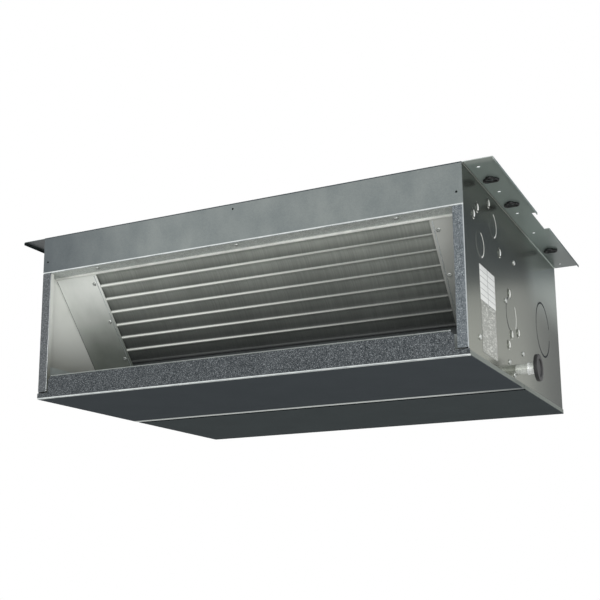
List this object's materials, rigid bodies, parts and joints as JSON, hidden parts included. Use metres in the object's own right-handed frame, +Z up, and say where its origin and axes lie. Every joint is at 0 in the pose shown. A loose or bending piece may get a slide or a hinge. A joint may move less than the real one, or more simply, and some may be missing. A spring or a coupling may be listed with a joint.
{
  "type": "fan coil unit",
  "caption": "Ducted fan coil unit: folded galvanised casing with hanging flanges, leaning water coil, drain pan, double-inlet fans, sliding filter and electrical box.",
  "frame": {"origin": "middle of the casing's underside, at the centre of the overall box's bottom face", "axes": "+X to the drain side, -Y out of the air outlet, +Z up"},
  "size_m": [0.832, 0.58, 0.284],
  "materials": {
    "galvanised": "galvanised sheet with a faint spangle",
    "zinc_screws": "zinc plated",
    "rubber": "matt black",
    "foam": "closed-cell foam, matt",
    "stub_metal": "satin",
    "fins": "mill finish, dulled",
    "copper": "dull copper",
    "brass": "machined",
    "knob_plastic": "moulded",
    "fan_metal": "zinc plated",
    "motor_paint": "satin black",
    "motor_castings": "as cast",
    "bearing_steel": "ground",
    "core_steel": "laminated",
    "filter_plastic": "moulded",
    "filter_mesh": "woven mesh",
    "gland_plastic": "moulded",
    "capacitor_case": "moulded"
  },
  "bodies": {
    "casing": {"side_panel_right": "galvanised", "side_panel_left": "galvanised", "hanging_flange_right": "galvanised", "hanging_flange_left": "galvanised", "top_panel": "galvanised", "front_header": "galvanised", "front_bottom_panel": "galvanised", "rear_access_panel": "galvanised", "rear_frame": "galvanised", "fan_deck": "galvanised", "isolator_pads": "rubber", "casing_screws": "zinc_screws", "drain_pan": "galvanised", "drain_pan_foam": "foam", "drain_stub": "stub_metal", "coil_fin_pack": "fins", "coil_end_plate_right": "galvanised", "coil_end_plate_left": "galvanised", "blanking_plate_right": "galvanised", "blanking_plate_left": "galvanised", "coil_return_bends": "copper", "coil_screws": "zinc_screws", "inlet_manifold": "copper", "outlet_manifold": "copper", "inlet_union": "brass", "outlet_union": "brass", "air_vent_body": "brass", "coil_drain_body": "brass", "scroll_housing_right": "galvanised", "scroll_housing_left": "galvanised", "motor_shell": "motor_paint", "motor_end_bells": "motor_castings", "motor_bearings": "bearing_steel", "motor_stator": "core_steel", "motor_mount_rings": "rubber", "motor_cradle": "galvanised", "filter_guides": "galvanised", "electrical_box": "galvanised", "electrical_box_cover": "galvanised", "cable_glands": "gland_plastic", "terminal_block": "gland_plastic", "run_capacitor": "capacitor_case"},
    "rotor": {"fan_wheel_right": "fan_metal", "fan_wheel_left": "fan_metal", "fan_shaft": "bearing_steel", "motor_rotor_core": "core_steel"},
    "filter": {"filter_frame": "filter_plastic", "filter_media": "filter_mesh", "filter_pull_tab": "filter_plastic"},
    "drain_cap": {"drain_cap": "rubber"},
    "air_vent_knob": {"air_vent_knob": "knob_plastic"},
    "coil_drain_knob": {"coil_drain_knob": "knob_plastic"}
  },
  "joints": [
    {"name": "fan_spin", "type": "hinge", "parent": "casing", "child": "rotor", "pos_m": [0, 0.115, 0.126], "axis": [1, 0, 0], "continuous": true},
    {"name": "filter_slide", "type": "slide", "parent": "casing", "child": "filter", "axis": [-1, 0, 0], "range_m": [0, 0.72]},
    {"name": "drain_cap_pull", "type": "slide", "parent": "casing", "child": "drain_cap", "axis": [1, 0, 0], "range_m": [0, 0.03]},
    {"name": "air_vent_turn", "type": "hinge", "parent": "casing", "child": "air_vent_knob", "pos_m": [-0.38, -0.20285, 0.20999], "axis": [0, 0, 1], "range_deg": [0, 270]},
    {"name": "coil_drain_turn", "type": "hinge", "parent": "casing", "child": "coil_drain_knob", "pos_m": [-0.38, -0.13587, 0.09127], "axis": [0, 0, 1], "range_deg": [0, 270]}
  ]
}
